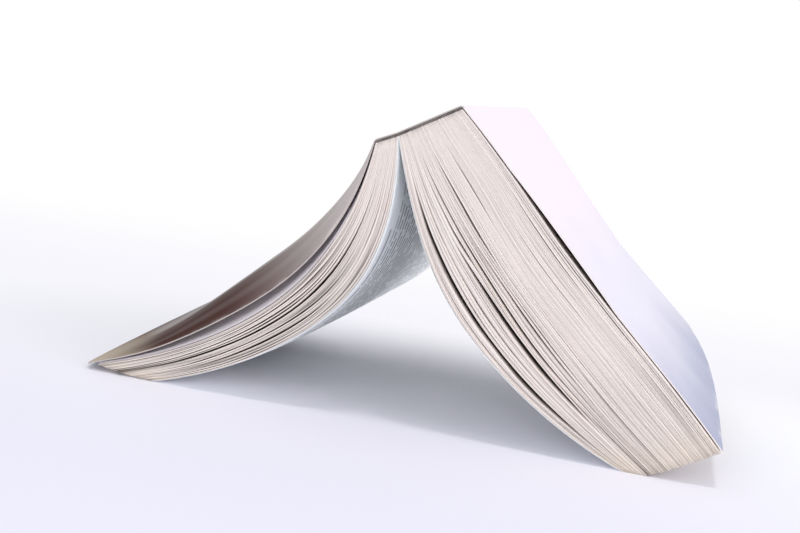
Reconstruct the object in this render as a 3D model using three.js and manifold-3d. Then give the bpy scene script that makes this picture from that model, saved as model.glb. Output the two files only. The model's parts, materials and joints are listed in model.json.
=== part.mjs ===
// A thick paperback book, opened about a quarter of the way through and stood like a tent on its fore edges.
// Lengths are in millimetres and angles in degrees. X runs across the open book, Y along the spine from the
// head edge to the tail edge, and Z is up.
// Each leaf is a curve of true length that leaves the spine and bends down to the floor. The block of leaves
// is cut into groups by slits along those curves, and all of its groups meet at the spine.

import * as THREE from "three";
import { mergeVertices } from "three/addons/utils/BufferGeometryUtils.js";
import Module from "manifold-3d";

// Trimmed leaf, and the two bundles that the opening parts
const LEAF_WIDTH = 112;
const LEAF_HEIGHT = 178;
const FRONT_BUNDLE = 6.4;
const BACK_BUNDLE = 18.6;

// Binding
const COVER_THICKNESS = 0.35;
const GLUE_THICKNESS = 0.5;
const GLUE_CLEARANCE = 0.1;
const COVER_CLEARANCE = 0.3;
const BACK_COVER_PROUD = 0.8;
const GUTTER_DEPTH = 4;

// Slope of the spine over each bundle, up towards the back cover
const FRONT_SPINE_SLOPE = 24.5;
const BACK_SPINE_SLOPE = 30;

// Direction of a leaf at five stations from the spine to the fore edge, first at the head edge of the book
// and then at its tail edge: -90 points straight down, -45 down to the right, -135 down to the left
const FRONT_INNER = { head: [-83, -103, -134, -151, -163], tail: [-78, -103, -119, -151, -180] };
const FRONT_OUTER = { head: [-98, -116, -138, -153, -163], tail: [-98, -112, -132, -158, -176] };
const BACK_INNER = { head: [-73, -65, -46, -33, -22], tail: [-73, -65, -46, -33, -22] };
const BACK_FAN = { head: [-60, -55, -48, -37, -36], tail: [-60, -55, -48, -37, -36] };
const BACK_OUTER = { head: [-43, -47, -44, -43, -46], tail: [-43, -51, -45, -41, -42] };
// The front cover sags onto its leaves at the head edge only and is straight, like a prop, at the tail edge
const FRONT_COVER = { head: [-100, -124, -142, -144, -162], tail: [-146, -135, -135, -132, -148] };

// The back bundle spreads unevenly: the first of its leaves fan out most, up to this share of its thickness
const FAN_SHARE = 0.2;
// How soon, from the head edge on, the leaves and the front cover take the shape of their tail edge
const TWIST_POWER = 0.75;
const COVER_TWIST_POWER = 0.35;

// Groups of leaves, the slit between two groups, and how much their fore edges stand back and forth
const FRONT_GROUPS = 8;
const BACK_GROUPS = 14;
const SLIT_WIDTH = 0.15;
const FORE_EDGE_STAGGER = 0.25;
// Where the leaves stand open: after which group, from and to which share of the leaf, and how wide
const FRONT_GAPS = [
  { after: 2, from: 0.42, to: 0.8, wide: 1.0 },
  { after: 3, from: 0.35, to: 0.95, wide: 0.3 },
  { after: 5, from: 0.12, to: 0.92, wide: 0.9 },
  { after: 6, from: 0.3, to: 0.85, wide: 0.4 },
];
const BACK_GAPS = [
  { after: 1, from: 0.12, to: 0.88, wide: 0.9 },
  { after: 2, from: 0.36, to: 0.84, wide: 1.3 },
  { after: 3, from: 0.12, to: 0.95, wide: 0.4 },
  { after: 4, from: 0.35, to: 0.8, wide: 0.5 },
  { after: 5, from: 0.1, to: 0.35, wide: 0.4 },
  { after: 9, from: 0.25, to: 0.75, wide: 0.3 },
];

// The paper that meets the floor is pressed flat over this height, and softens into its curve over this length
const FOOT_FLAT = 0.25;
const PRESS_RADIUS = 1;

// Fineness of the model
const STATIONS = 16;
const SECTIONS = [0, 0.12, 0.45, 1];
const COVER_SECTIONS = [0, 0.02, 0.06, 0.14, 0.3, 0.6, 1];
const END_ARC_STEPS = 6;

// The space under the floor level reaches this many book sizes out, past every leaf
const UNDER_FLOOR_SPREAD = 4;

const PAPER = { color: 0xddd4d0, roughness: 0.9, metalness: 0 };
const COVER = { color: 0xd3d6e6, roughness: 0.35, metalness: 0 };
const GLUE = { color: 0x4a4340, roughness: 0.6, metalness: 0 };

const radians = THREE.MathUtils.degToRad;

// Directions and normals in the X-Z plane
function direction(degrees) {
  return new THREE.Vector2(Math.cos(radians(degrees)), Math.sin(radians(degrees)));
}

function turnedLeft(v) {
  return new THREE.Vector2(-v.y, v.x);
}

function along(point, way, distance) {
  return point.clone().addScaledVector(way, distance);
}

// A smooth curve through values that are evenly spaced
function smooth(values, share) {
  const points = values.map((value, i) => new THREE.Vector2(i, value));
  return new THREE.SplineCurve(points).getPoint(share).y;
}

function lerp(a, b, share) {
  return a + (b - a) * share;
}

// How far the shape has gone from its head profile to its tail profile at a depth along the spine
function twist(y, power) {
  return Math.pow(y / LEAF_HEIGHT, power);
}

function lean(profile, share, y, power = TWIST_POWER) {
  return lerp(smooth(profile.head, share), smooth(profile.tail, share), twist(y, power));
}

// The front bundle turns left of the crease and the back bundle right of it
const frontSpineWay = direction(FRONT_SPINE_SLOPE).negate();
const backSpineWay = direction(BACK_SPINE_SLOPE);
const crease = new THREE.Vector2(0, 0);

const front = {
  thickness: FRONT_BUNDLE,
  spineWay: frontSpineWay,
  groups: FRONT_GROUPS,
  gaps: FRONT_GAPS,
  outward: -1,
  leanOf(t, share, y) {
    return lerp(lean(FRONT_INNER, share, y), lean(FRONT_OUTER, share, y), t);
  },
};

const back = {
  thickness: BACK_BUNDLE,
  spineWay: backSpineWay,
  groups: BACK_GROUPS,
  gaps: BACK_GAPS,
  outward: 1,
  leanOf(t, share, y) {
    const inFan = t < FAN_SHARE;
    const from = inFan ? BACK_INNER : BACK_FAN;
    const to = inFan ? BACK_FAN : BACK_OUTER;
    const part = inFan ? t / FAN_SHARE : (t - FAN_SHARE) / (1 - FAN_SHARE);
    return lerp(lean(from, share, y), lean(to, share, y), part);
  },
};

// Points of a curve of a given length that starts at a point and follows a changing direction
function sweep(start, length, leanAt) {
  const points = [start.clone()];
  const step = length / STATIONS;
  for (let k = 0; k < STATIONS; k += 1) {
    points.push(along(points[k], direction(leanAt((k + 0.5) / STATIONS)), step));
  }
  return points;
}

// A leaf by its place in its bundle, from 0 next to the opening to 1 next to the cover, before the floor stops it
function freeLeaf(bundle, t, y) {
  const start = along(crease, bundle.spineWay, t * bundle.thickness);
  return sweep(start, LEAF_WIDTH, (share) => bundle.leanOf(t, share, y));
}

function lowest(points) {
  return Math.min(...points.map((p) => p.y));
}

const depths = SECTIONS.map((share) => share * LEAF_HEIGHT);
const coverDepths = COVER_SECTIONS.map((share) => share * LEAF_HEIGHT);

// The shorter leg sets how high the crease stands, and the longer one is pressed flat by the floor
function reach(bundle) {
  return Math.min(...depths.map((y) => lowest(freeLeaf(bundle, 0, y))));
}

const floorLevel = Math.max(reach(front), reach(back)) + FOOT_FLAT;

// Zero below the floor and the height itself above it, with a soft change between them
function pressed(height) {
  if (height > PRESS_RADIUS) return height;
  if (height < -PRESS_RADIUS) return 0;
  return (height + PRESS_RADIUS) ** 2 / (4 * PRESS_RADIUS);
}

// The front bundle lies down on the floor at the tail, each leaf on those under it
function leaf(bundle, t, y) {
  const points = freeLeaf(bundle, t, y);
  if (bundle !== front) return points;
  const innerTip = freeLeaf(front, 0, y)[STATIONS].x;
  const outerTip = freeLeaf(front, 1, y)[STATIONS].x;
  return points.map((p) => {
    const ended = THREE.MathUtils.clamp((innerTip - p.x) / (innerTip - outerTip), 0, t);
    const bed = floorLevel - FOOT_FLAT + (t - ended) * front.thickness;
    return new THREE.Vector2(p.x, bed + pressed(p.y - bed));
  });
}

// Unit normals of a curve, on its left as it is followed
function normals(points) {
  return points.map((p, i) => {
    const before = points[Math.max(i - 1, 0)];
    const after = points[Math.min(i + 1, points.length - 1)];
    return turnedLeft(after.clone().sub(before).normalize());
  });
}

function offset(points, distanceAt) {
  const ways = normals(points);
  return points.map((p, i) => along(p, ways[i], distanceAt(i)));
}

// A hump from 0 to 1 and back between two shares of the leaf
function hump(share, from, to) {
  if (share <= from || share >= to) return 0;
  return Math.sin((Math.PI * (share - from)) / (to - from)) ** 2;
}

// The slit after each group starts a little way from the spine, no two neighbours alike
function slitStart(bundle, j) {
  const gap = bundle.gaps.find((g) => g.after === j);
  if (gap) return Math.max(1, Math.round(gap.from * STATIONS));
  return 2 + ((j * 3) % 4);
}

function slitWidth(bundle, j, station) {
  const gap = bundle.gaps.find((g) => g.after === j);
  const wide = gap ? gap.wide * hump(station / STATIONS, gap.from, gap.to) : 0;
  return SLIT_WIDTH + wide;
}

function stagger(j) {
  return FORE_EDGE_STAGGER * Math.sin(j * 2.4);
}

// The side of a slit that faces one way, from its closed end (left out) to the fore edge
function slitSide(bundle, j, y, side) {
  const points = leaf(bundle, j / bundle.groups, y);
  const moved = offset(points, (i) => (side * slitWidth(bundle, j, i)) / 2);
  const group = side * bundle.outward > 0 ? j + 1 : j;
  const last = moved[STATIONS];
  const way = last.clone().sub(moved[STATIONS - 1]).normalize();
  moved[STATIONS] = along(last, way, stagger(group));
  return moved.slice(slitStart(bundle, j) + 1);
}

// Both sides of a slit as one run of points that comes in from the fore edge and goes out again
function slit(bundle, j, y, firstSide) {
  const closed = leaf(bundle, j / bundle.groups, y)[slitStart(bundle, j)];
  const comingIn = slitSide(bundle, j, y, firstSide).reverse();
  return [...comingIn, closed, ...slitSide(bundle, j, y, -firstSide)];
}

// End view of the block, anticlockwise: down the front bundle's outer leaf, in and out of its slits, up to the
// gutter, and down and up again through the back bundle
function blockOutline(y) {
  const outline = [...leaf(front, 1, y)];
  for (let j = front.groups - 1; j > 0; j -= 1) outline.push(...slit(front, j, y, -1));
  const frontInner = leaf(front, 0, y);
  const backInner = leaf(back, 0, y);
  const first = Math.ceil((GUTTER_DEPTH * STATIONS) / LEAF_WIDTH) + 1;
  outline.push(...frontInner.slice(first).reverse());
  const gutterWay = direction((FRONT_INNER.head[0] + BACK_INNER.head[0]) / 2);
  outline.push(along(crease, gutterWay, GUTTER_DEPTH));
  outline.push(...backInner.slice(first));
  for (let j = 1; j < back.groups; j += 1) outline.push(...slit(back, j, y, -1));
  outline.push(...leaf(back, 1, y).reverse());
  outline.push(crease.clone());
  return outline;
}

// The outline's end cap as triangles, all anticlockwise
function capTriangles(outline) {
  return THREE.ShapeUtils.triangulateShape(outline, []).map(([a, b, c]) => {
    const ab = outline[b].clone().sub(outline[a]);
    const ac = outline[c].clone().sub(outline[a]);
    return ab.cross(ac) > 0 ? [a, b, c] : [a, c, b];
  });
}

// A closed skin through anticlockwise outlines with the same number of points, one at each depth
function loft(outlines, at = depths) {
  const count = outlines[0].length;
  const positions = [];
  const faces = [];
  outlines.forEach((outline, i) => outline.forEach((p) => positions.push(p.x, at[i], p.y)));
  capTriangles(outlines[0]).forEach(([a, b, c]) => faces.push(a, b, c));
  const lastRing = (outlines.length - 1) * count;
  capTriangles(outlines[outlines.length - 1]).forEach(([a, b, c]) => {
    faces.push(lastRing + a, lastRing + c, lastRing + b);
  });
  for (let ring = 0; ring < outlines.length - 1; ring += 1) {
    for (let i = 0; i < count; i += 1) {
      const a = ring * count + i;
      const b = ring * count + ((i + 1) % count);
      faces.push(a, a + count, b, b, a + count, b + count);
    }
  }
  const geometry = new THREE.BufferGeometry();
  geometry.setAttribute("position", new THREE.Float32BufferAttribute(positions, 3));
  geometry.setIndex(faces);
  return geometry;
}

// Cutting, with solids in place of surfaces
const wasm = await Module();
wasm.setup();

function toSolid(geometry) {
  const bare = geometry.clone();
  bare.deleteAttribute("normal");
  bare.deleteAttribute("uv");
  const merged = mergeVertices(bare);
  const mesh = new wasm.Mesh({
    numProp: 3,
    vertProperties: merged.attributes.position.array,
    triVerts: new Uint32Array(merged.index.array),
  });
  return new wasm.Manifold(mesh);
}

function toGeometry(solid) {
  const mesh = solid.getMesh();
  const geometry = new THREE.BufferGeometry();
  geometry.setAttribute("position", new THREE.BufferAttribute(new Float32Array(mesh.vertProperties), 3));
  geometry.setIndex(new THREE.BufferAttribute(new Uint32Array(mesh.triVerts), 1));
  return geometry;
}

// Everything under the floor level, so that what stands on it is cut flat
function underFloor() {
  const size = UNDER_FLOOR_SPREAD * (LEAF_WIDTH + LEAF_HEIGHT);
  const slab = new THREE.BoxGeometry(size, size, size);
  return slab.translate(0, 0, floorLevel - size / 2);
}

// The layers over the spine, outwards from the leaves
const glueInner = GLUE_CLEARANCE;
const glueOuter = glueInner + GLUE_THICKNESS;
const spineCoverInner = glueOuter + GLUE_CLEARANCE;
const spineCoverMiddle = spineCoverInner + COVER_THICKNESS / 2;
const sideCoverMiddle = COVER_CLEARANCE + COVER_THICKNESS / 2;

// Where the middle of the spine cover and the middle of a side cover meet, measured from the block's edge
function foldAxis(bundle) {
  const edge = along(crease, bundle.spineWay, bundle.thickness);
  const coverWay = direction(bundle.leanOf(1, 0, 0));
  const coverNormal = turnedLeft(coverWay).multiplyScalar(bundle.outward);
  const spineNormal = turnedLeft(bundle.spineWay).multiplyScalar(bundle.outward);
  const det = coverNormal.cross(spineNormal);
  return new THREE.Vector2(
    edge.x + (sideCoverMiddle * spineNormal.y - spineCoverMiddle * coverNormal.y) / det,
    edge.y + (spineCoverMiddle * coverNormal.x - sideCoverMiddle * spineNormal.x) / det,
  );
}

const frontFold = foldAxis(front);
const backFold = foldAxis(back);
const foldRadius = COVER_THICKNESS / 2;
const foldStart = foldRadius + COVER_CLEARANCE;

// The crease point of a layer at a distance over the spine
function creaseAt(distance) {
  const middleSlope = (FRONT_SPINE_SLOPE + BACK_SPINE_SLOPE) / 2;
  const halfBend = radians((BACK_SPINE_SLOPE - FRONT_SPINE_SLOPE) / 2);
  return along(crease, direction(middleSlope + 90), distance / Math.cos(halfBend));
}

// A point over the end of the spine on one side
function spineEnd(bundle, distance) {
  const edge = along(crease, bundle.spineWay, bundle.thickness);
  return along(edge, turnedLeft(bundle.spineWay).multiplyScalar(bundle.outward), distance);
}

function glueOutline() {
  return [
    spineEnd(front, glueInner),
    creaseAt(glueInner),
    spineEnd(back, glueInner),
    spineEnd(back, glueOuter),
    creaseAt(glueOuter),
    spineEnd(front, glueOuter),
  ];
}

// A half round about a fold, from one angle to another
function foldArc(centre, from, to) {
  const points = [];
  for (let i = 0; i <= END_ARC_STEPS; i += 1) {
    points.push(along(centre, direction(lerp(from, to, i / END_ARC_STEPS)), foldRadius));
  }
  return points;
}

function spineCoverOutline() {
  const backArc = foldArc(backFold, BACK_SPINE_SLOPE - 90, BACK_SPINE_SLOPE + 90);
  const frontArc = foldArc(frontFold, FRONT_SPINE_SLOPE + 90, FRONT_SPINE_SLOPE + 270);
  return [creaseAt(spineCoverInner), ...backArc, creaseAt(spineCoverInner + COVER_THICKNESS), ...frontArc];
}

// A sheet of cover card about its middle line
function sheetOutline(middle) {
  const upper = offset(middle, () => COVER_THICKNESS / 2);
  const lower = offset(middle, () => -COVER_THICKNESS / 2);
  return [...lower, ...upper.reverse()];
}

// The back cover lies on its leaves and stands proud of them near the spine
function backCoverOutline(y) {
  const outer = leaf(back, 1, y);
  const proudAt = (i) => BACK_COVER_PROUD * hump(i / STATIONS, 0.18, 0.6);
  const middle = offset(outer, (i) => sideCoverMiddle + proudAt(i));
  middle[0] = along(backFold, direction(back.leanOf(1, 0, y)), foldStart);
  return sheetOutline(middle);
}

// The front cover stands clear of its leaves and touches down beyond them
function frontCoverOutline(y) {
  const leanAt = (share) => lean(FRONT_COVER, share, y, COVER_TWIST_POWER);
  const start = along(frontFold, direction(leanAt(0)), foldStart);
  return sheetOutline(sweep(start, LEAF_WIDTH - foldStart, leanAt));
}

function piece(name, geometry, look) {
  const flat = geometry.index ? geometry.toNonIndexed() : geometry;
  flat.computeVertexNormals();
  const mesh = new THREE.Mesh(flat, new THREE.MeshStandardMaterial(look));
  mesh.name = name;
  return mesh;
}

const floor = toSolid(underFloor());
const block = toSolid(loft(depths.map(blockOutline))).subtract(floor);

const book = new THREE.Group();
book.add(piece("page_block", toGeometry(block), PAPER));
book.add(piece("spine_glue", loft(depths.map(glueOutline)), GLUE));
book.add(piece("cover_spine", loft(depths.map(spineCoverOutline)), COVER));
book.add(piece("front_cover", loft(coverDepths.map(frontCoverOutline), coverDepths), COVER));
book.add(piece("back_cover", loft(depths.map(backCoverOutline)), COVER));

// The origin is on the floor under the middle of the book
const bounds = new THREE.Box3().setFromObject(book);
const middle = bounds.getCenter(new THREE.Vector3());
book.position.set(-middle.x, -middle.y, -floorLevel);

export default book;
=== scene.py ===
"""A thick paperback that stands open like a tent on its fore edges, seen from its head edge.

Book coordinates are millimetres: X across the open book, Y from the head edge to the tail edge and Z up,
with the crease between the two opened pages at X 0, Z 0. The frame's coordinates are metres, with the floor
at Z 0.
"""
import json
import math

import bpy
import numpy as np
from mathutils import Matrix, Vector


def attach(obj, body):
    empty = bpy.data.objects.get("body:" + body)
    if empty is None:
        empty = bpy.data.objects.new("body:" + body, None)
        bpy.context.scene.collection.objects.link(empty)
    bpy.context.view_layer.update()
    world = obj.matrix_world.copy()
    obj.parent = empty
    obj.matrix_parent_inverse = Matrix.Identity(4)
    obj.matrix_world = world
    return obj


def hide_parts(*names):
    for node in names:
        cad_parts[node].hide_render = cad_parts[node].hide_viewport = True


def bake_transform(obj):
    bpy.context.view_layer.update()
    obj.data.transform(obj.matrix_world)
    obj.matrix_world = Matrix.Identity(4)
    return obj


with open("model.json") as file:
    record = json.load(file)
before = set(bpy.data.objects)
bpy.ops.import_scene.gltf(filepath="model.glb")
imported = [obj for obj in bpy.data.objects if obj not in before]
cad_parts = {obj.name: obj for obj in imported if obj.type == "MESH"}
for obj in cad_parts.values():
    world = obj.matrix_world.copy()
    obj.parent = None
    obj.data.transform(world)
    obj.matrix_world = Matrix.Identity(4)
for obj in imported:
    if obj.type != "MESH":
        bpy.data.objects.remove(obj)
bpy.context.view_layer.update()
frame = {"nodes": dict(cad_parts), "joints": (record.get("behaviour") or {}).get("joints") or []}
MM = 0.001
rng = np.random.default_rng(7)

# Sizes that the part's source has too, in millimetres and degrees
LEAF_WIDTH = 112.0
LEAF_HEIGHT = 178.0
FRONT_BUNDLE = 6.4
BACK_BUNDLE = 18.6
COVER_THICKNESS = 0.35
GLUE_THICKNESS = 0.5
GLUE_CLEARANCE = 0.1
COVER_CLEARANCE = 0.3
BACK_COVER_PROUD = 0.8
FRONT_SPINE_SLOPE = 24.5
BACK_SPINE_SLOPE = 30.0
PRESS_RADIUS = 1.0
FAN_SHARE = 0.2
TWIST_POWER = 0.75
COVER_TWIST_POWER = 0.35

# Sizes of this scene alone
LEAF_THICKNESS = 0.08
PAPER_OVER_FLOOR = 0.02
GAP_ROUNDNESS = 0.9

# Direction of a leaf at five stations from the spine to the fore edge, at the head edge and at the tail edge.
# The front cover's head edge lies a little closer to its leaves than the solid's does.
FRONT_INNER = ((-83, -103, -134, -151, -163), (-78, -103, -119, -151, -180))
FRONT_OUTER = ((-98, -116, -138, -153, -163), (-98, -112, -132, -158, -176))
BACK_INNER = ((-73, -65, -46, -33, -22), (-73, -65, -46, -33, -22))
BACK_FAN = ((-60, -55, -48, -37, -36), (-60, -55, -48, -37, -36))
BACK_OUTER = ((-43, -47, -44, -43, -46), (-43, -51, -45, -41, -42))
FRONT_COVER = ((-99, -120, -140, -149, -163), (-146, -135, -135, -132, -148))

# Where the leaves stand open: place in the bundle, from and to which share of the leaf, and how wide
FRONT_GAPS = (
    (0.05, 0.3, 0.98, 0.2), (0.13, 0.5, 0.97, 0.3), (0.2, 0.4, 0.85, 0.35), (0.28, 0.4, 0.84, 1.0),
    (0.36, 0.25, 0.9, 0.25), (0.43, 0.35, 0.95, 0.4), (0.5, 0.2, 0.6, 0.25), (0.6, 0.1, 0.92, 0.9),
    (0.66, 0.4, 0.9, 0.3), (0.74, 0.28, 0.88, 0.5), (0.82, 0.15, 0.7, 0.25), (0.9, 0.4, 0.9, 0.3),
)
BACK_GAPS = (
    (0.03, 0.25, 0.95, 0.3), (0.07, 0.1, 0.9, 0.6), (0.11, 0.3, 0.8, 0.25), (0.16, 0.28, 0.86, 0.8),
    (0.19, 0.12, 0.6, 0.3), (0.215, 0.06, 0.9, 0.75), (0.25, 0.4, 0.8, 0.3), (0.29, 0.3, 0.82, 0.6),
    (0.32, 0.45, 0.75, 0.25), (0.36, 0.06, 0.4, 0.7), (0.44, 0.45, 0.85, 0.25), (0.55, 0.08, 0.28, 0.3),
    (0.72, 0.3, 0.6, 0.25), (0.9, 0.2, 0.55, 0.35), (0.96, 0.25, 0.7, 0.3),
)


def way(degrees):
    """Unit vectors in the X-Z plane at angles from the X axis."""
    a = np.radians(degrees)
    return np.stack([np.cos(a), np.sin(a)], -1)


def turned_left(v):
    """Vectors in the X-Z plane turned a quarter to the left."""
    return np.stack([-v[..., 1], v[..., 0]], -1)


def unit(v):
    """Vectors brought to length one."""
    return v / np.linalg.norm(v, axis=-1, keepdims=True)


def smooth(values, shares):
    """A smooth curve through evenly spaced values."""
    v = np.asarray(values, float)
    n = len(v) - 1
    p = np.asarray(shares, float) * n
    i = np.minimum(p.astype(int), n - 1)
    w = p - i
    p0, p1, p2, p3 = v[np.maximum(i - 1, 0)], v[i], v[i + 1], v[np.minimum(i + 2, n)]
    v0, v1 = (p2 - p0) / 2, (p3 - p1) / 2
    return (2 * p1 - 2 * p2 + v0 + v1) * w**3 + (-3 * p1 + 3 * p2 - 2 * v0 - v1) * w**2 + v0 * w + p1


def lean(profile, shares, y, power=TWIST_POWER):
    """Directions along a leaf at a depth, which turn from its head profile to its tail profile."""
    head, tail = (smooth(p, shares) for p in profile)
    return head + (tail - head) * (y / LEAF_HEIGHT) ** power


def front_lean(t, shares, y):
    """Directions of a front leaf at a place in its bundle, from 0 at the opening to 1 at the cover."""
    return (1 - t) * lean(FRONT_INNER, shares, y) + t * lean(FRONT_OUTER, shares, y)


def cover_lean(shares, y):
    """Directions of the front cover, which leaves its bundle soon behind the head edge."""
    return lean(FRONT_COVER, shares, y, COVER_TWIST_POWER)


def back_lean(t, shares, y):
    """Directions of a back leaf: the first leaves fan out, and the rest stand close together."""
    if t < FAN_SHARE:
        k, a, b = t / FAN_SHARE, BACK_INNER, BACK_FAN
    else:
        k, a, b = (t - FAN_SHARE) / (1 - FAN_SHARE), BACK_FAN, BACK_OUTER
    return (1 - k) * lean(a, shares, y) + k * lean(b, shares, y)


FRONT = dict(thick=FRONT_BUNDLE, spine=-way(FRONT_SPINE_SLOPE), lean=front_lean, out=-1.0, gaps=FRONT_GAPS)
BACK = dict(thick=BACK_BUNDLE, spine=way(BACK_SPINE_SLOPE), lean=back_lean, out=1.0, gaps=BACK_GAPS)

SPINE_COVER_MIDDLE = 2 * GLUE_CLEARANCE + GLUE_THICKNESS + COVER_THICKNESS / 2
SIDE_COVER_MIDDLE = COVER_CLEARANCE + COVER_THICKNESS / 2
FOLD_START = COVER_THICKNESS / 2 + COVER_CLEARANCE


def fold_axis(bundle):
    """Where the middle of the spine cover meets the middle of a side cover."""
    edge = bundle["spine"] * bundle["thick"]
    cover_normal = turned_left(way(bundle["lean"](1, np.array([0.0]), 0)[0])) * bundle["out"]
    spine_normal = turned_left(bundle["spine"]) * bundle["out"]
    det = cover_normal[0] * spine_normal[1] - cover_normal[1] * spine_normal[0]
    return np.array([
        edge[0] + (SIDE_COVER_MIDDLE * spine_normal[1] - SPINE_COVER_MIDDLE * cover_normal[1]) / det,
        edge[1] + (SPINE_COVER_MIDDLE * cover_normal[0] - SIDE_COVER_MIDDLE * spine_normal[0]) / det,
    ])


# The front cover's hinge gives the crease's place in the frame
hinge = next(j for j in frame["joints"] if j["name"] == "front_cover_hinge")["pos_m"]
CREASE = np.array([hinge[0], hinge[2]]) / MM - fold_axis(FRONT)
FLOOR = -CREASE[1]
LOWEST = FLOOR + PAPER_OVER_FLOOR


def sweep(start, length, angles):
    """Points of a curve of a given length from its start, one more than the directions that it follows."""
    steps = way(angles) * (length / len(angles))
    return np.vstack([start, start + np.cumsum(steps, 0)])


def free_leaf(bundle, t, y, stations):
    """A leaf's curve before the floor stops it."""
    shares = (np.arange(stations) + 0.5) / stations
    return sweep(bundle["spine"] * bundle["thick"] * t, LEAF_WIDTH, bundle["lean"](t, shares, y))


def leaf(bundle, t, y, stations):
    """A leaf's curve. The front bundle lies down on the floor, each leaf on those under it."""
    points = free_leaf(bundle, t, y, stations)
    if bundle is BACK:
        points[:, 1] = np.maximum(points[:, 1], LOWEST)
        return points
    inner_tip = free_leaf(FRONT, 0, y, stations)[-1, 0]
    outer_tip = free_leaf(FRONT, 1, y, stations)[-1, 0]
    ended = np.clip((inner_tip - points[:, 0]) / (inner_tip - outer_tip), 0, t)
    bed = LOWEST + (t - ended) * FRONT_BUNDLE
    h = points[:, 1] - bed
    soft = (h + PRESS_RADIUS) ** 2 / (4 * PRESS_RADIUS)
    points[:, 1] = bed + np.where(h > PRESS_RADIUS, h, np.where(h < -PRESS_RADIUS, 0, soft))
    return points


def offset(points, distance):
    """A curve moved to its left by a distance at each point."""
    ways = np.gradient(points, axis=0)
    return points + turned_left(unit(ways)) * np.asarray(distance)[..., None]


def hump(shares, start, end):
    """Rises from nothing at one share to one half way, and falls to nothing at another share."""
    inside = np.clip((shares - start) / (end - start), 0, 1)
    return np.sin(math.pi * inside) ** GAP_ROUNDNESS


def to_frame(xz, y):
    """Metres in the frame from points in the X-Z plane of the book and their depths."""
    return np.stack([
        (xz[..., 0] + CREASE[0]) * MM,
        np.broadcast_to((y - LEAF_HEIGHT / 2) * MM, xz[..., 0].shape),
        (xz[..., 1] + CREASE[1]) * MM,
    ], -1)


# Meshes

def new_object(name, verts, faces, slots=None, materials=(), smooth_faces=True):
    """An object with a new mesh. The slots give each face's material by its number."""
    mesh = bpy.data.meshes.new(name)
    mesh.from_pydata([tuple(v) for v in verts], [], [tuple(int(i) for i in f) for f in faces])
    obj = bpy.data.objects.new(name, mesh)
    bpy.context.scene.collection.objects.link(obj)
    for m in materials:
        mesh.materials.append(m)
    if slots is not None:
        mesh.polygons.foreach_set("material_index", np.asarray(slots, np.int32))
    mesh.polygons.foreach_set("use_smooth", np.full(len(faces), smooth_faces))
    mesh.update()
    return obj


def add_attribute(obj, name, values, kind="FLOAT"):
    """A value for each point of the mesh, which materials and node trees read by its name."""
    key = {"FLOAT": "value", "FLOAT_VECTOR": "vector"}[kind]
    made = obj.data.attributes.new(name, kind, "POINT")
    made.data.foreach_set(key, np.asarray(values, np.float32).ravel())


def grid_faces(rows, columns, start=0, flip=False):
    """Quads of a grid whose vertices are numbered row by row."""
    i, j = np.meshgrid(np.arange(rows - 1), np.arange(columns - 1), indexing="ij")
    a = start + i * columns + j
    quads = np.stack([a, a + 1, a + columns + 1, a + columns], -1).reshape(-1, 4)
    return quads[:, ::-1] if flip else quads


def closed_sheet(inner, outer, flip):
    """Vertices and faces of a sheet between two grids of points: the inner side, the outer side, the rim."""
    rows, columns = inner.shape[:2]
    count = rows * columns
    faces = list(grid_faces(rows, columns, 0, not flip)) + list(grid_faces(rows, columns, count, flip))
    ring = list(range(columns)) + [r * columns + columns - 1 for r in range(1, rows)]
    ring += [(rows - 1) * columns + i for i in range(columns - 2, -1, -1)]
    ring += [r * columns for r in range(rows - 2, 0, -1)]
    for p, q in zip(ring, ring[1:] + ring[:1]):
        quad = (p, q, q + count, p + count)
        faces.append(quad[::-1] if flip else quad)
    return np.vstack([inner.reshape(-1, 3), outer.reshape(-1, 3)]), faces


# Materials. The paper and the card carry their own places as attributes in millimetres: along_mm runs from
# the spine to the fore edge, and deep_mm from the head edge to the tail edge.

def srgb(code):
    """Linear colour of a hex code, as four numbers."""
    values = [int(code[i : i + 2], 16) / 255 for i in (1, 3, 5)]
    return [v / 12.92 if v <= 0.04045 else ((v + 0.055) / 1.055) ** 2.4 for v in values] + [1.0]


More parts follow.
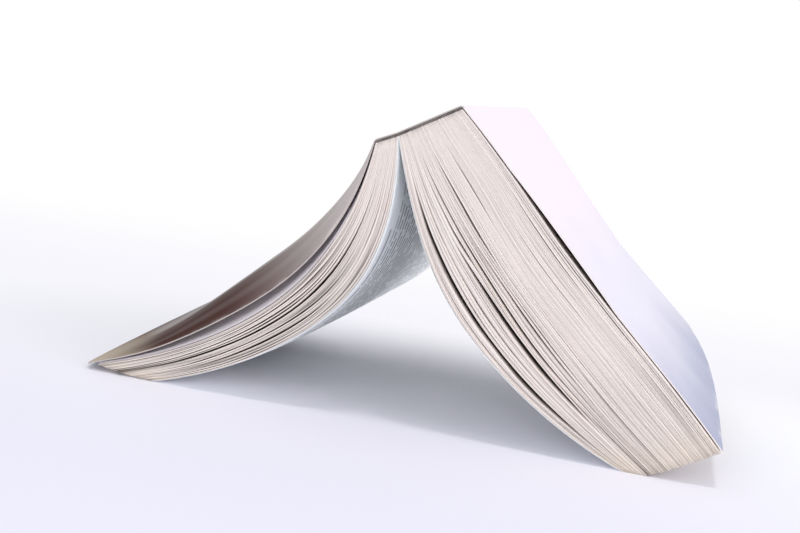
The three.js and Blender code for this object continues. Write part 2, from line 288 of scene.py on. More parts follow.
class Shader:
    """A material under construction, with a short call for each kind of node that it needs."""

    def __init__(self, name):
        self.material = bpy.data.materials.new(name)
        self.material.use_nodes = True
        self.tree = self.material.node_tree
        self.surface = self.tree.nodes["Principled BSDF"]

    def add(self, kind, settings=None, **links):
        """A node with its settings, and its inputs linked to sockets or set to values by name."""
        made = self.tree.nodes.new(kind)
        for key, value in (settings or {}).items():
            setattr(made, key, value)
        for key, value in links.items():
            spot = made.inputs[int(key[1:])] if key[0] == "_" else made.inputs[key.replace("_", " ")]
            self.put(spot, value)
        return made

    def put(self, spot, value):
        """Links a socket to an input, or sets the input to a value."""
        if isinstance(value, bpy.types.NodeSocket):
            self.tree.links.new(value, spot)
        else:
            spot.default_value = value

    def attribute(self, name):
        return self.add("ShaderNodeAttribute", {"attribute_name": name}).outputs["Fac"]

    def math(self, operation, *values):
        made = self.add("ShaderNodeMath", {"operation": operation})
        for spot, value in zip(made.inputs, values):
            self.put(spot, value)
        return made.outputs[0]

    def times(self, a, b):
        return self.math("MULTIPLY", a, b)

    def range(self, value, low, high, to_low=0.0, to_high=1.0):
        """Goes softly from one value to another while the input goes from low to high."""
        made = self.add("ShaderNodeMapRange", {"interpolation_type": "SMOOTHSTEP"})
        for spot, v in zip(made.inputs, (value, low, high, to_low, to_high)):
            self.put(spot, v)
        return made.outputs[0]

    def vector(self, x, y, z=0.0):
        made = self.add("ShaderNodeCombineXYZ")
        for spot, v in zip(made.inputs, (x, y, z)):
            self.put(spot, v)
        return made.outputs[0]

    def noise(self, vector, scale, detail=2.0, roughness=0.5):
        made = self.add("ShaderNodeTexNoise", {"normalize": True}, Vector=vector)
        made.inputs["Scale"].default_value = scale
        made.inputs["Detail"].default_value = detail
        made.inputs["Roughness"].default_value = roughness
        return made.outputs["Fac"]

    def mix(self, factor, a, b):
        """A colour between two, each given by a socket or by its hex code."""
        made = self.add("ShaderNodeMix", {"data_type": "RGBA", "blend_type": "MIX"})
        self.put(made.inputs[0], factor)
        self.put(made.inputs[6], srgb(a) if isinstance(a, str) else a)
        self.put(made.inputs[7], srgb(b) if isinstance(b, str) else b)
        return made.outputs[2]

    def bump(self, height, depth_mm, strength):
        made = self.add("ShaderNodeBump", Height=height)
        made.inputs["Distance"].default_value = depth_mm * MM
        made.inputs["Strength"].default_value = strength
        self.tree.links.new(made.outputs[0], self.surface.inputs["Normal"])

    def set(self, **values):
        """Sets the surface's own inputs and gives the finished material."""
        for key, value in values.items():
            self.put(self.surface.inputs[key.replace("_", " ")], value)
        return self.material


def leaf_paper():
    """Cut edges of bulky book paper.

    Each leaf is a fine line of its own tone, yellowed towards the fore edge, with painted shade where air
    lies between some leaves. Inside the block the paper is darkened by painted shade. The outermost leaf is
    bare paper on both its sides.
    """
    s = Shader("book_paper_cut_edges")
    leaves = s.attribute("leaf_count")
    along = s.attribute("along_mm")
    deep = s.attribute("deep_mm")
    inside = s.attribute("inside")
    # Tones that run far along a leaf and change from leaf to leaf
    fine = s.noise(s.vector(s.times(along, 0.02), s.times(leaves, 0.4), s.times(deep, 0.01)), 1.0, 3, 0.7)
    broad = s.noise(s.vector(s.times(along, 0.012), s.times(leaves, 0.12)), 1.0, 2)
    base = s.mix(s.range(fine, 0.3, 0.6), "#d9cec8", "#e8dfda")
    warm = s.mix(s.range(broad, 0.3, 0.8, 0.0, 0.6), base, "#efe3da")
    aged = s.mix(s.range(along, 96.0, LEAF_WIDTH, 0.0, 0.3), warm, "#e6d6be")
    # Painted shade where air lies between leaves that lie loosely, away from the glued back
    openness = s.noise(s.vector(s.times(along, 0.014), s.times(leaves, 0.2), 5.0), 1.0, 1)
    openness = s.math("SUBTRACT", openness, s.times(s.attribute("loose"), 0.09))
    air = s.times(s.range(openness, 0.18, 0.3, 1.0, 0.0), s.range(along, 12.0, 45.0, 0.0, 0.9))
    # Faint lines of painted shade between the leaves near the fore edge
    waves = s.math("SINE", s.math("ADD", s.times(leaves, 1.05), s.times(broad, 9.0)))
    fore_edge_gap_shade = s.times(s.range(waves, 0.5, 0.95), s.range(along, 72.0, 96.0, 0.0, 0.35))
    lines = s.times(s.math("MAXIMUM", air, fore_edge_gap_shade), inside)
    # Shade between the groups of leaves, away from all three cut edges
    covered = s.times(s.range(deep, 0.5, 4.0), s.range(deep, 174.0, 177.5, 1.0, 0.0))
    shade = s.times(s.times(covered, inside), s.range(along, 104.0, 110.0, 0.85, 0.0))
    s.bump(fine, 0.06, 0.5)
    # Painted shade: dark lines in the gaps between leaves, then darker paper inside the block
    gap_shaded = s.mix(lines, aged, "#5f5450")
    return s.set(Base_Color=s.mix(shade, gap_shaded, "#4f4541"), Roughness=0.88, Specular_IOR_Level=0.25)


# The layout of a printed page, in millimetres from its head edge and from the gutter
LINE_PITCH = 4.1
TEXT_DEPTHS = (14.0, 164.0)
TEXT_SIDES = (13.0, 101.0)
HEADING_DEPTHS = (7.6, 9.7)
HEADING_SIDES = (26.0, 84.0)
SHORT_LINE_LACKS = 38.0
INK_STRENGTH = 0.62


def page_paper(name, seed):
    """A printed page: rows of short grey bars stand for its lines of type, inside the usual margins."""
    s = Shader(name)
    along = s.attribute("along_mm")
    deep = s.attribute("deep_mm")

    def between(value, limits, blur, end_value=None):
        """One between two limits, and nothing outside them."""
        after = s.range(value, limits[0], limits[0] + blur)
        before = s.range(value if end_value is None else end_value, limits[1], limits[1] + blur, 1.0, 0.0)
        return s.times(after, before)

    row = s.math("DIVIDE", deep, LINE_PITCH)
    row_number = s.math("FLOOR", row)
    across_row = s.math("ABSOLUTE", s.math("SUBTRACT", s.math("FRACT", row), 0.5))
    in_row = s.range(across_row, 0.17, 0.24, 1.0, 0.0)
    words = s.noise(s.vector(s.times(along, 0.42), s.times(row_number, 3.7), seed), 1.0, 1)
    in_word = s.range(words, 0.40, 0.44)
    # The last line of a paragraph is short
    line_end = s.noise(s.vector(s.times(row_number, 5.3), seed), 1.0, 0)
    short = s.range(line_end, 0.66, 0.67, 0.0, SHORT_LINE_LACKS)
    in_line = between(along, TEXT_SIDES, 0.6, s.math("ADD", along, short))
    body = s.times(s.times(in_row, in_word), s.times(in_line, between(deep, TEXT_DEPTHS, 0.1)))
    heading = s.times(between(deep, HEADING_DEPTHS, 0.1), between(along, HEADING_SIDES, 0.5))
    ink = s.times(s.math("MAXIMUM", body, s.times(heading, in_word)), INK_STRENGTH)
    fibre = s.noise(s.vector(along, deep), 1.6, 4, 0.65)
    # Painted light in part: the paper's cool cast stands for the cool light thrown up from the pale floor
    tone = s.mix(s.range(fibre, 0.3, 0.7), "#ebeef0", "#f6f8f9")
    s.bump(fibre, 0.03, 0.5)
    return s.set(Base_Color=s.mix(ink, tone, "#57565b"), Roughness=0.86, Specular_IOR_Level=0.25)


def plain_paper():
    """A loose leaf of book paper: a faint grain of fibres, dull all over."""
    s = Shader("book_paper_leaf")
    fibre = s.noise(s.vector(s.attribute("along_mm"), s.attribute("deep_mm")), 1.4, 4, 0.65)
    s.bump(fibre, 0.04, 0.6)
    # The grey lavender tone, darker than the other paper, is painted shade for the leaves under the front
    # cover
    return s.set(Base_Color=s.mix(fibre, "#cfc8cc", "#dcd5d8"), Roughness=0.85, Specular_IOR_Level=0.25)


SPINE_COLOUR = "#4c332d"


def worn_edge(s, along, deep):
    """Where the cover card's rim has lost its print: long, faint bits along its outer edges."""
    half = LEAF_HEIGHT / 2
    from_middle = s.math("ABSOLUTE", s.math("SUBTRACT", deep, half))
    rim = s.math("MAXIMUM", s.range(along, 110.6, 111.9), s.range(from_middle, half - 0.2, half))
    bits = s.noise(s.vector(along, deep, 3.0), 0.06, 5, 0.6)
    return s.times(rim, s.range(bits, 0.45, 0.7, 0.0, 0.6))


def back_outside():
    """The back's laminated card: pale lavender, blue grey towards the fore edge, under a thin gloss film.

    Its print changes colour in a soft, uneven band, and the fold and the spine are brown.
    """
    s = Shader("laminated_card_back")
    along = s.attribute("along_mm")
    deep = s.attribute("deep_mm")
    cloud = s.noise(s.vector(s.times(along, 0.02), s.times(deep, 0.014)), 1.0, 3)
    uneven = s.range(cloud, 0.3, 0.7, -3.0, 3.0)
    slanted = s.math("ADD", s.math("ADD", along, uneven), s.times(deep, -0.09))
    pale = s.mix(s.range(slanted, 20.0, 76.0), "#efe1ef", "#dcd7ea")
    cool = s.mix(s.range(slanted, 70.0, 114.0), pale, "#7f87ac")
    wrapped = s.mix(s.range(along, -1.6, -1.2), SPINE_COLOUR, cool)
    worn = worn_edge(s, along, deep)
    s.bump(s.noise(s.vector(along, deep), 0.9, 3), 0.02, 0.4)
    rough = s.math("ADD", s.range(cloud, 0.2, 0.8, 0.30, 0.42), s.times(worn, 0.3))
    return s.set(
        Base_Color=s.mix(worn, wrapped, "#f4f1f0"), Roughness=rough, Specular_IOR_Level=0.45,
        Coat_Weight=0.25, Coat_Roughness=0.3,
    )


def front_outside():
    """The front's laminated card: dark red brown, greyer by painted reflection towards the spine, olive at
    the head corner.

    Its film is dull, apart from a sheen where it is seen nearly edge on.
    """
    s = Shader("laminated_card_front")
    along = s.attribute("along_mm")
    deep = s.attribute("deep_mm")
    cloud = s.noise(s.vector(s.times(along, 0.03), s.times(deep, 0.02)), 1.0, 3, 0.6)
    brown = s.mix(s.range(cloud, 0.3, 0.7), "#331208", "#3f1b12")
    # Painted reflection: the brown turns pale grey towards the spine, as if the film mirrored the bright
    # surroundings
    grey = s.mix(s.range(along, 8.0, 68.0, 0.95, 0.0), brown, "#b9b1ae")
    corner = s.times(s.range(along, 87.0, 110.0), s.range(deep, 0.0, 62.0, 0.95, 0.0))
    olive = s.mix(corner, grey, "#b5a793")
    wrapped = s.mix(s.range(along, -0.2, 0.2), SPINE_COLOUR, olive)
    worn = worn_edge(s, along, deep)
    s.bump(s.noise(s.vector(along, deep), 0.9, 3), 0.02, 0.4)
    facing = s.add("ShaderNodeLayerWeight", None, Blend=0.5).outputs["Facing"]
    gloss = s.math("ADD", s.range(facing, 0.5, 0.8, 0.3, 0.01), s.range(facing, 0.94, 1.0, 0.0, 0.7))
    rough = s.range(cloud, 0.2, 0.8, 0.34, 0.44)
    return s.set(Base_Color=s.mix(worn, wrapped, "#d9cfc8"), Roughness=rough, Specular_IOR_Level=gloss)


def card_inside():
    """The cover's inner side: uncoated white card with a faint grain."""
    s = Shader("uncoated_card_inside")
    grain = s.noise(s.vector(s.attribute("along_mm"), s.attribute("deep_mm")), 1.2, 4)
    s.bump(grain, 0.04, 0.5)
    return s.set(Base_Color=s.mix(grain, "#dcd8d8", "#e8e4e4"), Roughness=0.75, Specular_IOR_Level=0.3)


def card_edge(name, side_tone):
    """The cut edge of the cover card, slightly frayed, and darker where it wraps the spine."""
    s = Shader(name)
    along = s.attribute("along_mm")
    grain = s.noise(s.vector(along, s.attribute("deep_mm")), 3.0, 2)
    darker_at_spine = s.mix(grain, "#a79c98", "#c2b9b6")
    s.bump(grain, 0.05, 0.6)
    return s.set(Base_Color=s.mix(s.range(along, -0.5, 1.5), darker_at_spine, side_tone), Roughness=0.8)


def binding_glue_and_shade():
    """Hot-melt glue soaked into the leaves' backs: dark, blotched and slightly waxy.
    Its dark colour is partly painted shade in the joint between the leaves and the spine.
    """
    s = Shader("binding_glue_and_shade")
    place = s.add("ShaderNodeTexCoord").outputs["Object"]
    blobs = s.noise(place, 420.0, 3)
    s.bump(blobs, 0.1, 0.6)
    return s.set(Base_Color=s.mix(s.range(blobs, 0.35, 0.65), "#3a3230", "#6e6460"), Roughness=0.5)


paper = leaf_paper()
front_page = page_paper("front_page_paper", 1.0)
back_page = page_paper("back_page_paper", 9.0)
loose_paper = plain_paper()
back_print = back_outside()
front_print = front_outside()
card = card_inside()
front_cut_edge = card_edge("card_cut_edge_front", "#b5aba7")
back_cut_edge = card_edge("card_cut_edge_back", "#e9dfdc")
glue = binding_glue_and_shade()


# The leaves

STATIONS = 34
DEPTHS = np.array([0, 3, 14, 36, 72, 112, 152, LEAF_HEIGHT])
GUIDES = 81
OPEN_PAGE_THICKNESS = 0.1
OPEN_PAGE_ROOM = 1.2 * OPEN_PAGE_THICKNESS
# How many groups of leaves a bundle has, how unequal they are, and how much of a group may be air
FRONT_GROUPS, BACK_GROUPS = 24, 60
GROUP_WEIGHTS = (0.3, 1.9)
FRONT_AIR, BACK_AIR = 0.6, 0.55
GROUP_FILL = 0.96
AIR_LENGTH = 34.0
AIR_SEED = 3.0
# How unevenly the groups lie: up to so much short at the head and the tail edge, and slipped at the fore edge
SHORT_BY = 0.22
SLIP_SPREAD = 0.1
SLIP_LIMITS = (-0.5, 0.3)
# The leaves are held together over this first part of their width
HELD_SHARE = 0.2
# How loosely the leaves lie: all through the front bundle, and in the back one from its opening to its cover
FRONT_LOOSENESS = 1.6
LOOSE_PLACES = (0.0, 0.3, 0.42, 0.88, 0.94, 1.0)
LOOSE_SHARES = (1.0, 1.0, 0.3, 0.25, 0.8, 0.8)


def guides(bundle):
    """Curves of the bundle at even places in it: one row for each place, then depth, then station."""
    return np.array([[leaf(bundle, t, y, STATIONS) for y in DEPTHS] for t in np.linspace(0, 1, GUIDES)])


def pick(table, places):
    """Points at a place in the bundle for each station, between the guide curves."""
    at = np.clip(places, 0, 1) * (GUIDES - 1)
    i = np.minimum(at.astype(int), GUIDES - 2)
    w = (at - i)[None, :, None]
    stations = np.arange(STATIONS + 1)
    low = table[i, :, stations].transpose(1, 0, 2)
    high = table[i + 1, :, stations].transpose(1, 0, 2)
    return low * (1 - w) + high * w


def leaf_groups(bundle, count):
    """Lower and upper side of each thin group of leaves, and its place in the bundle, past the open gaps."""
    table = guides(bundle)
    shares = np.arange(STATIONS + 1) / STATIONS
    room = np.linalg.norm(table[-1, 0] - table[0, 0], axis=-1)
    weights = rng.uniform(*GROUP_WEIGHTS, count)
    first = OPEN_PAGE_ROOM / bundle["thick"]
    edges = first + (1 - first) * np.concatenate([[0], np.cumsum(weights) / weights.sum()])
    opened = [
        (int(np.argmin(abs(edges - place))), width * hump(shares, start, end) / room)
        for place, start, end, width in bundle["gaps"]
    ]
    total = sum(width for _, width in opened)
    none = np.zeros_like(shares)
    groups = []
    for k in range(count):
        under = edges[k] * (1 - total) + sum((width for at, width in opened if at <= k), none)
        over = edges[k + 1] * (1 - total) + sum((width for at, width in opened if at < k + 1), none)
        low, high = pick(table, under), pick(table, over)
        if bundle is FRONT:
            low, high = high, low
        groups.append((low, high, edges[k], edges[k + 1]))
    return groups


def sheets(groups, bundle, name):
    """One open sheet of faces for each group, with what the node tree needs, and the mean count of leaves."""
    verts, faces, up = [], [], []
    kept = {key: [] for key in ("free", "along_mm", "deep_mm", "leaf_count", "layer", "loose", "inside")}
    shares = np.arange(STATIONS + 1) / STATIONS
    points = len(DEPTHS) * (STATIONS + 1)
    for k, (low, high, place, _) in enumerate(groups):
        start = len(verts)
        head, tail = rng.uniform(0, SHORT_BY, 2)
        depths = np.clip(DEPTHS, head, LEAF_HEIGHT - tail)
        slip = rng.normal(0, SLIP_SPREAD)
        for side in (low, high):
            side[:, -1] += unit(side[:, -1] - side[:, -2]) * np.clip(slip, *SLIP_LIMITS)
            side[:, -1, 1] = np.maximum(side[:, -1, 1], LOWEST)
        a, b = to_frame(low, depths[:, None]), to_frame(high, depths[:, None])
        verts.extend(a.reshape(-1, 3))
        up.extend((b - a).reshape(-1, 3))
        faces.extend(grid_faces(len(DEPTHS), STATIONS + 1, start, bundle is FRONT))
        looseness = FRONT_LOOSENESS if bundle is FRONT else np.interp(place, LOOSE_PLACES, LOOSE_SHARES)
        group = {
            "free": np.tile(np.clip(shares / HELD_SHARE, 0, 1), len(DEPTHS)),
            "along_mm": np.tile(shares * LEAF_WIDTH, len(DEPTHS)),
            "deep_mm": np.repeat(depths, STATIONS + 1),
            "leaf_count": np.full(points, place * bundle["thick"] / LEAF_THICKNESS),
            "layer": np.full(points, k),
            "loose": np.full(points, looseness),
            "inside": np.full(points, 0.0 if k == len(groups) - 1 else 1.0),
        }
        for key, values in group.items():
            kept[key].extend(values)
    obj = new_object(name, verts, faces)
    add_attribute(obj, "up", up, "FLOAT_VECTOR")
    for key, values in kept.items():
        add_attribute(obj, key, values)
    step = float(np.mean([g[3] - g[2] for g in groups]) * bundle["thick"] / LEAF_THICKNESS)
    return obj, step


# Where air thins a group: how far a patch reaches along the depth, how the groups differ, and its soft edge
PATCH_ALONG_DEPTH = 0.35
LAYER_STEP = 3.17
PATCH_EDGE = (0.38, 0.72)
WELD_DISTANCE = 1e-7


def thicken_tree():
    """Thickens open sheets of faces into closed groups of leaves, thinner where air lies between groups."""
    tree = bpy.data.node_groups.new("leaf_groups", "GeometryNodeTree")
    face = tree.interface
    face.new_socket(name="Geometry", in_out="OUTPUT", socket_type="NodeSocketGeometry")
    face.new_socket(name="Geometry", in_out="INPUT", socket_type="NodeSocketGeometry")
    for label in ("Fill", "Air", "Air Length", "Leaf Step", "Seed"):
        face.new_socket(name=label, in_out="INPUT", socket_type="NodeSocketFloat")
    face.new_socket(name="Material", in_out="INPUT", socket_type="NodeSocketMaterial")

    def add(kind, settings=None, links=()):
        made = tree.nodes.new(kind)
        for key, value in (settings or {}).items():
            setattr(made, key, value)
        for spot, value in links:
            target = made.inputs[spot]
            if isinstance(value, bpy.types.NodeSocket):
                tree.links.new(value, target)
            else:
                target.default_value = value
        return made

    def named(label, kind="FLOAT"):
        made = add("GeometryNodeInputNamedAttribute", {"data_type": kind}, [("Name", label)])
        return made.outputs["Attribute"]

    def maths(operation, a, b):
        return add("ShaderNodeMath", {"operation": operation}, [(0, a), (1, b)]).outputs[0]

    inputs = add("NodeGroupInput").outputs
    place = add("ShaderNodeCombineXYZ", None, [
        (0, maths("DIVIDE", named("along_mm"), inputs["Air Length"])),
        (1, maths("MULTIPLY", maths("DIVIDE", named("deep_mm"), inputs["Air Length"]), PATCH_ALONG_DEPTH)),
        (2, maths("MULTIPLY", named("layer"), LAYER_STEP)),
    ]).outputs[0]
    cloud = add("ShaderNodeTexNoise", {"noise_dimensions": "4D"}, [
        ("Vector", place), ("W", inputs["Seed"]), ("Scale", 1.0), ("Detail", 2.0),
    ]).outputs[0]
    patch = add("ShaderNodeMapRange", {"interpolation_type": "SMOOTHSTEP"}, [
        ("Value", cloud), ("From Min", PATCH_EDGE[0]), ("From Max", PATCH_EDGE[1]),
        ("To Min", 0.0), ("To Max", 1.0),
    ]).outputs[0]
    looseness = maths("MULTIPLY", named("free"), maths("MINIMUM", named("loose"), 1.0))
    thinner = maths("MULTIPLY", maths("MULTIPLY", patch, inputs["Air"]), looseness)
    share = maths("SUBTRACT", inputs["Fill"], thinner)
    lift = add("ShaderNodeVectorMath", {"operation": "SCALE"}, [
        (0, named("up", "FLOAT_VECTOR")), ("Scale", share),
    ])
    grown = add("GeometryNodeExtrudeMesh", {"mode": "FACES"}, [
        ("Mesh", inputs["Geometry"]), ("Offset Scale", 0.0), ("Individual", False),
    ])
    moved = add("GeometryNodeSetPosition", None, [
        ("Geometry", grown.outputs["Mesh"]), ("Selection", grown.outputs["Top"]), ("Offset", lift.outputs[0]),
    ]).outputs[0]
    counted = add("GeometryNodeStoreNamedAttribute", {"data_type": "FLOAT", "domain": "POINT"}, [
        ("Geometry", moved), ("Selection", grown.outputs["Top"]), ("Name", "leaf_count"),
        ("Value", maths("ADD", named("leaf_count"), inputs["Leaf Step"])),
    ]).outputs[0]
    under = add("GeometryNodeFlipFaces", None, [("Mesh", inputs["Geometry"])]).outputs[0]
    joined = add("GeometryNodeJoinGeometry")
    tree.links.new(counted, joined.inputs[0])
    tree.links.new(under, joined.inputs[0])
    closed = add("GeometryNodeMergeByDistance", None, [
        ("Geometry", joined.outputs[0]), ("Distance", WELD_DISTANCE),
    ]).outputs[0]
    real = add("GeometryNodeRealizeInstances", None, [("Geometry", closed)]).outputs[0]
    painted = add("GeometryNodeSetMaterial", None, [
        ("Geometry", real), ("Material", inputs["Material"]),
    ]).outputs[0]
    out = add("NodeGroupOutput")
    tree.links.new(painted, out.inputs[0])
    return tree


def thicken(obj, tree, values):
    """Puts the node tree's result in place of the object's mesh."""
    modifier = obj.modifiers.new("leaf_groups", "NODES")
    modifier.node_group = tree
    spots = {i.name: i.identifier for i in tree.interface.items_tree if i.in_out == "INPUT"}
    for key, value in values.items():
        modifier[spots[key]] = value
    view = bpy.context.evaluated_depsgraph_get()
    made = bpy.data.meshes.new_from_object(obj.evaluated_get(view), depsgraph=view)
    obj.modifiers.clear()
    obj.data = made


tree = thicken_tree()
for bundle, count, name, air in (
    (FRONT, FRONT_GROUPS, "front_leaves", FRONT_AIR), (BACK, BACK_GROUPS, "back_leaves", BACK_AIR),
):
    leaves, leaf_step = sheets(leaf_groups(bundle, count), bundle, name)
    thicken(leaves, tree, {
        "Fill": GROUP_FILL, "Air": air, "Air Length": AIR_LENGTH, "Leaf Step": leaf_step, "Seed": AIR_SEED,
        "Material": paper,
    })
    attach(leaves, "root")
    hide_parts("page_block")


SINGLE_LEAF_STATIONS = 48


def thin_leaf(name, bundle, curve_at, thickness, material, depths=DEPTHS):
    """A single closed leaf whose inner side follows a curve at each depth."""
    columns = SINGLE_LEAF_STATIONS + 1
    inner = np.array([curve_at(y) for y in depths])
    outer = np.array([offset(c, np.full(columns, thickness * bundle["out"])) for c in inner])
    inner, outer = to_frame(inner, depths[:, None]), to_frame(outer, depths[:, None])
    verts, faces = closed_sheet(inner, outer, bundle is FRONT)
    obj = new_object(name, verts, faces, None, [material])
    along = np.arange(columns) / SINGLE_LEAF_STATIONS * LEAF_WIDTH
    add_attribute(obj, "along_mm", np.tile(along, 2 * len(depths)))
    add_attribute(obj, "deep_mm", np.tile(np.repeat(depths, columns), 2))
    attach(obj, "root")


for name, bundle, material in (("front_open_page", FRONT, front_page), ("back_open_page", BACK, back_page)):
    thin_leaf(name, bundle, lambda y: leaf(bundle, 0, y, SINGLE_LEAF_STATIONS), OPEN_PAGE_THICKNESS, material)

# Two loose leaves under the front cover: how far each follows the cover, and what it lacks at the fore edge
LOOSE_LEAVES = (("loose_leaf_1", 0.3, 0.4), ("loose_leaf_2", 0.8, 0.9))
LOOSE_LEAF_THICKNESS = 0.09
LOOSE_DEPTHS = np.array([0, 3, 8, 15, 25, 40, 60, 90, 130, LEAF_HEIGHT])
LIFT_OVER = 9
CLEAR_OF_BLOCK = 0.06
LIFTED_CLEARANCE = 0.12


def loose_curve(y, lift, short):
    """An outer leaf of the front bundle, which lifts off it towards the tail edge and follows the cover."""
    shares = (np.arange(SINGLE_LEAF_STATIONS) + 0.5) / SINGLE_LEAF_STATIONS
    lifted = lift * (1 - math.exp(-y / LIFT_OVER))
    angles = (1 - lifted) * front_lean(1, shares, y) + lifted * cover_lean(shares, y)
    start = FRONT["spine"] * FRONT_BUNDLE - np.array([CLEAR_OF_BLOCK, 0.0]) * (1 + lift)
    points = sweep(start, LEAF_WIDTH - short, angles)
    resting = leaf(FRONT, 1, y, SINGLE_LEAF_STATIONS) + [0, CLEAR_OF_BLOCK + LIFTED_CLEARANCE * lift]
    return np.where((points[:, 1] < resting[:, 1])[:, None], resting, points)


for name, lift, short in LOOSE_LEAVES:
    thin_leaf(
        name, FRONT, lambda y: loose_curve(y, lift, short), LOOSE_LEAF_THICKNESS, loose_paper, LOOSE_DEPTHS,
    )


# The cover: one folded card, in two pieces that meet on the spine

COVER_STATIONS = 56
COVER_DEPTHS = np.concatenate([
    [0.0, 0.5, 1.2, 2.4, 4.2, 7.0, 11.0, 17.0, 26.0], np.linspace(38.0, LEAF_HEIGHT, 11),
])
# How far from a fold's corner the card begins to bend, and how much of its straight parts is left out there
BEND = 0.7
BEND_POINTS = 7
CLEAR_ON_SPINE = 1.5 * BEND
CLEAR_ON_SIDE = 1.4 * BEND
SHARP_ANGLE = 50
SPINE_POINTS = 9
# The back cover stands proud of its leaves between two shares of its width. Its fore edge bows away from
# them, most of all half way along the book.
PROUD_FROM, PROUD_TO = 0.18, 0.6
BOW = 3.2
BOW_FROM = 0.62


def fold_corner(corner, before, after):
    """A rounded corner between two directions that leave it."""
    a, b = corner + before * BEND, corner + after * BEND
    shares = np.linspace(0, 1, BEND_POINTS)
    return [(1 - w) ** 2 * a + 2 * w * (1 - w) * corner + w * w * b for w in shares]


def front_side(corner, y):
    """The front cover's curve, which sags onto its leaves at the head edge, and its direction at the fold."""
    shares = (np.arange(COVER_STATIONS) + 0.5) / COVER_STATIONS
    first = way(cover_lean(np.array([0.0]), y)[0])
    return sweep(corner + first * FOLD_START, LEAF_WIDTH - FOLD_START, cover_lean(shares, y)), first


def back_side(corner, y):
    """The back cover's curve along the outermost leaf, and its direction at the fold."""
    shares = np.arange(COVER_STATIONS + 1) / COVER_STATIONS
    first = way(back_lean(1, np.array([0.0]), y)[0])
    proud = BACK_COVER_PROUD * hump(shares, PROUD_FROM, PROUD_TO)
    to_fore_edge = np.clip((shares - BOW_FROM) / (1 - BOW_FROM), 0, 1)
    bowed = BOW * math.sin(math.pi * y / LEAF_HEIGHT) * to_fore_edge**2
    side = offset(leaf(BACK, 1, y, COVER_STATIONS), SIDE_COVER_MIDDLE + proud + bowed)
    side[0] = corner + first * FOLD_START
    return side, first


def cover_curve(bundle, y):
    """Middle line of the card from the crease of the spine, round the fold, to the fore edge."""
    half = math.radians((BACK_SPINE_SLOPE - FRONT_SPINE_SLOPE) / 2)
    middle = (FRONT_SPINE_SLOPE + BACK_SPINE_SLOPE) / 2
    crease = way(middle + 90) * (SPINE_COVER_MIDDLE / math.cos(half))
    corner = fold_axis(bundle)
    side, first = front_side(corner, y) if bundle is FRONT else back_side(corner, y)
    spine_part = [crease + (corner - crease) * w for w in np.linspace(0, 1, SPINE_POINTS)[:-1]]
    spine_part = [p for p in spine_part if np.linalg.norm(p - corner) > CLEAR_ON_SPINE]
    side_part = [p for p in side if np.linalg.norm(p - corner) > CLEAR_ON_SIDE]
    return np.array(spine_part + fold_corner(corner, unit(crease - corner), first) + side_part)


def cover_card(name, bundle, outer_material, edge_material, node):
    """Half of the cover, from the spine's crease round its fold to a fore edge."""
    curves = [cover_curve(bundle, y) for y in COVER_DEPTHS]
    n = min(len(c) for c in curves)
    curves = [np.vstack([c[:1], c[len(c) - n + 1 :]]) for c in curves]
    half = COVER_THICKNESS / 2 * bundle["out"]
    inner, outer = (np.array([offset(c, np.full(n, d)) for c in curves]) for d in (-half, half))
    for side in (inner, outer):
        side[..., 1] = np.maximum(side[..., 1], LOWEST)
    depths = COVER_DEPTHS[:, None]
    verts, faces = closed_sheet(to_frame(inner, depths), to_frame(outer, depths), bundle is FRONT)
    quads = (len(COVER_DEPTHS) - 1) * (n - 1)
    slots = [1] * quads + [0] * quads + [2] * (len(faces) - 2 * quads)
    obj = new_object(name, verts, faces, slots, [outer_material, card, edge_material])
    lengths = np.concatenate([[0], np.cumsum(np.linalg.norm(np.diff(curves[0], axis=0), axis=1))])
    corner = fold_axis(bundle)
    add_attribute(obj, "along_mm", np.tile(lengths - np.linalg.norm(corner), 2 * len(COVER_DEPTHS)))
    add_attribute(obj, "deep_mm", np.tile(np.repeat(COVER_DEPTHS, n), 2))
    obj.data.set_sharp_from_angle(angle=math.radians(SHARP_ANGLE))
    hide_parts(node, "cover_spine")
    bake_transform(obj)


cover_card("front_cover_card", FRONT, front_print, front_cut_edge, "front_cover")
cover_card("back_cover_card", BACK, back_print, back_cut_edge, "back_cover")

frame["nodes"]["spine_glue"].data.materials.clear()
frame["nodes"]["spine_glue"].data.materials.append(glue)


# Floor, light and camera

# Metres in the frame. The floor is lit paint in front of the book, and turns into an even white glow behind
# it and far from it, so that no horizon shows. The glow behind is painted light: it begins under the book's
# middle, so that the floor inside the tent is bright where the book's shade would fall. The paint's whitening
# towards the back is painted light as well.
PAINT_FADE = (-0.16, 0.03)
GLOW_BEHIND = (-0.03, 0.05)
GLOW_FAR = (0.4, 1.2)
GLOW_WHITENS = (0.02, 0.25)
FLOOR_HALF = 6.0


def floor_paint():
    """A plain pale floor, lavender near the book and white behind it, where it glows with painted light."""
    s = Shader("pale_floor")
    place = s.add("ShaderNodeTexCoord").outputs["Object"]
    y = s.add("ShaderNodeSeparateXYZ", None, Vector=place).outputs[1]
    distance = s.add("ShaderNodeVectorMath", {"operation": "LENGTH"}, _0=place).outputs["Value"]
    glow_colour = s.mix(s.range(y, *GLOW_WHITENS), "#f7f6fd", "#ffffff")
    glow = s.add("ShaderNodeEmission", None, Color=glow_colour).outputs[0]
    # Painted light: the floor glows from under the book's middle to the back, and far from the book
    glowing = s.math("MAXIMUM", s.range(y, *GLOW_BEHIND), s.range(distance, *GLOW_FAR))
    both = s.add("ShaderNodeMixShader", None, _0=glowing, _1=s.surface.outputs[0], _2=glow)
    s.tree.links.new(both.outputs[0], s.tree.nodes["Material Output"].inputs["Surface"])
    paint = s.mix(s.range(y, *PAINT_FADE), "#e9e7f3", "#fdfdff")
    return s.set(Base_Color=paint, Roughness=0.7, Specular_IOR_Level=0.1)


corners = [(x * FLOOR_HALF, y * FLOOR_HALF, 0) for x, y in ((-1, -1), (1, -1), (1, 1), (-1, 1))]
floor = new_object("floor", corners, [(0, 1, 2, 3)], None, [floor_paint()], False)

# White where the camera or a reflection sees it, and a soft cool light on the rest
WORLD_LIGHT = 0.78

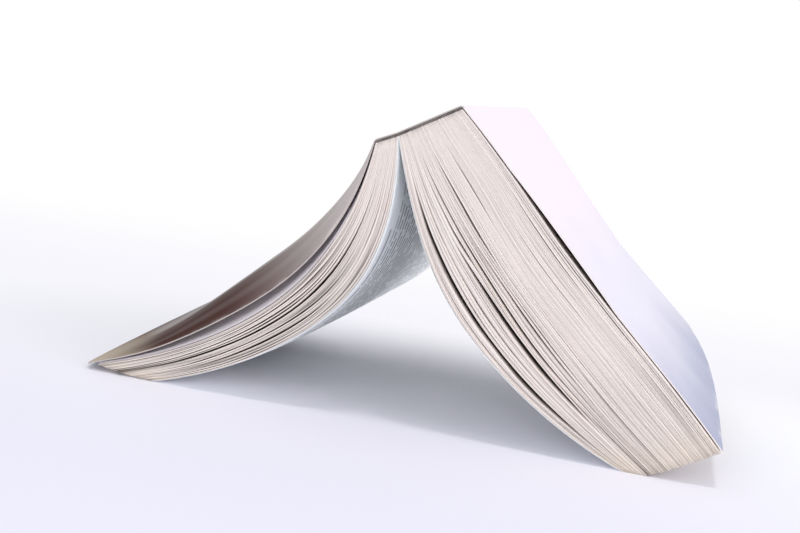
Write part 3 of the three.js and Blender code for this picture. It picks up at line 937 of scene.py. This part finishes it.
world = bpy.data.worlds.new("white_studio")
bpy.context.scene.world = world
world.use_nodes = True
nodes, links = world.node_tree.nodes, world.node_tree.links
seen = nodes["Background"]
seen.inputs["Color"].default_value = (1, 1, 1, 1)
seen.inputs["Strength"].default_value = 1.0
lit = nodes.new("ShaderNodeBackground")
lit.inputs["Color"].default_value = srgb("#f3f7f9")
lit.inputs["Strength"].default_value = WORLD_LIGHT
rays = nodes.new("ShaderNodeLightPath")
either = nodes.new("ShaderNodeMath")
either.operation = "MAXIMUM"
links.new(rays.outputs["Is Camera Ray"], either.inputs[0])
links.new(rays.outputs["Is Glossy Ray"], either.inputs[1])
blend = nodes.new("ShaderNodeMixShader")
links.new(either.outputs[0], blend.inputs[0])
links.new(lit.outputs[0], blend.inputs[1])
links.new(seen.outputs[0], blend.inputs[2])
links.new(blend.outputs[0], nodes["World Output"].inputs["Surface"])


def area_light(name, place, aim, size, power, colour="#ffffff"):
    """A round soft light turned to what it aims at, with its size in metres and its power in watts."""
    data = bpy.data.lights.new(name, "AREA")
    data.shape = "DISK"
    data.size = size
    data.energy = power
    data.color = srgb(colour)[:3]
    obj = bpy.data.objects.new(name, data)
    obj.location = place
    obj.rotation_euler = (Vector(aim) - Vector(place)).to_track_quat("-Z", "Y").to_euler()
    bpy.context.scene.collection.objects.link(obj)


area_light("lamp_above", (0.1, -0.2, 1.1), (0, 0, 0.02), 0.16, 2.3, "#fff7fb")
area_light("soft_box_front", (0.3, -1.1, 0.28), (0, 0, 0.03), 0.6, 1.2)
area_light("soft_box_left", (-0.5, -0.95, 0.22), (0, 0, 0.03), 0.5, 2.2)
area_light("soft_box_right", (1.1, -0.4, 0.5), (0.05, 0, 0.03), 0.6, 4.2)

# The camera, from the photograph's perspective: a 50 mm lens near the head edge, turned and rolled a little.
# Its place is in millimetres from the crease between the open pages, and in Y from the middle of the book.
LENS = 50.0
SENSOR_WIDTH = 36.0
CAMERA_FROM_CREASE = (60.23, 14.45)
CAMERA_BEFORE_MIDDLE = 379.42
CAMERA_RIGHT = Vector((0.96998, 0.20589, 0.12942))
CAMERA_UP = Vector((-0.15911, 0.13479, 0.97802))

camera_data = bpy.data.cameras.new("camera")
camera_data.lens = LENS
camera_data.sensor_width = SENSOR_WIDTH
camera_data.clip_start = 0.01
camera = bpy.data.objects.new("camera", camera_data)
back_way = CAMERA_RIGHT.cross(CAMERA_UP).normalized()
up = back_way.cross(CAMERA_RIGHT).normalized()
camera.matrix_world = Matrix((CAMERA_RIGHT, up, back_way)).transposed().to_4x4()
camera.location = (
    (CREASE[0] + CAMERA_FROM_CREASE[0]) * MM,
    -CAMERA_BEFORE_MIDDLE * MM,
    (CREASE[1] + CAMERA_FROM_CREASE[1]) * MM,
)
bpy.context.scene.collection.objects.link(camera)
bpy.context.scene.camera = camera
bpy.context.scene.view_settings.view_transform = "Standard"
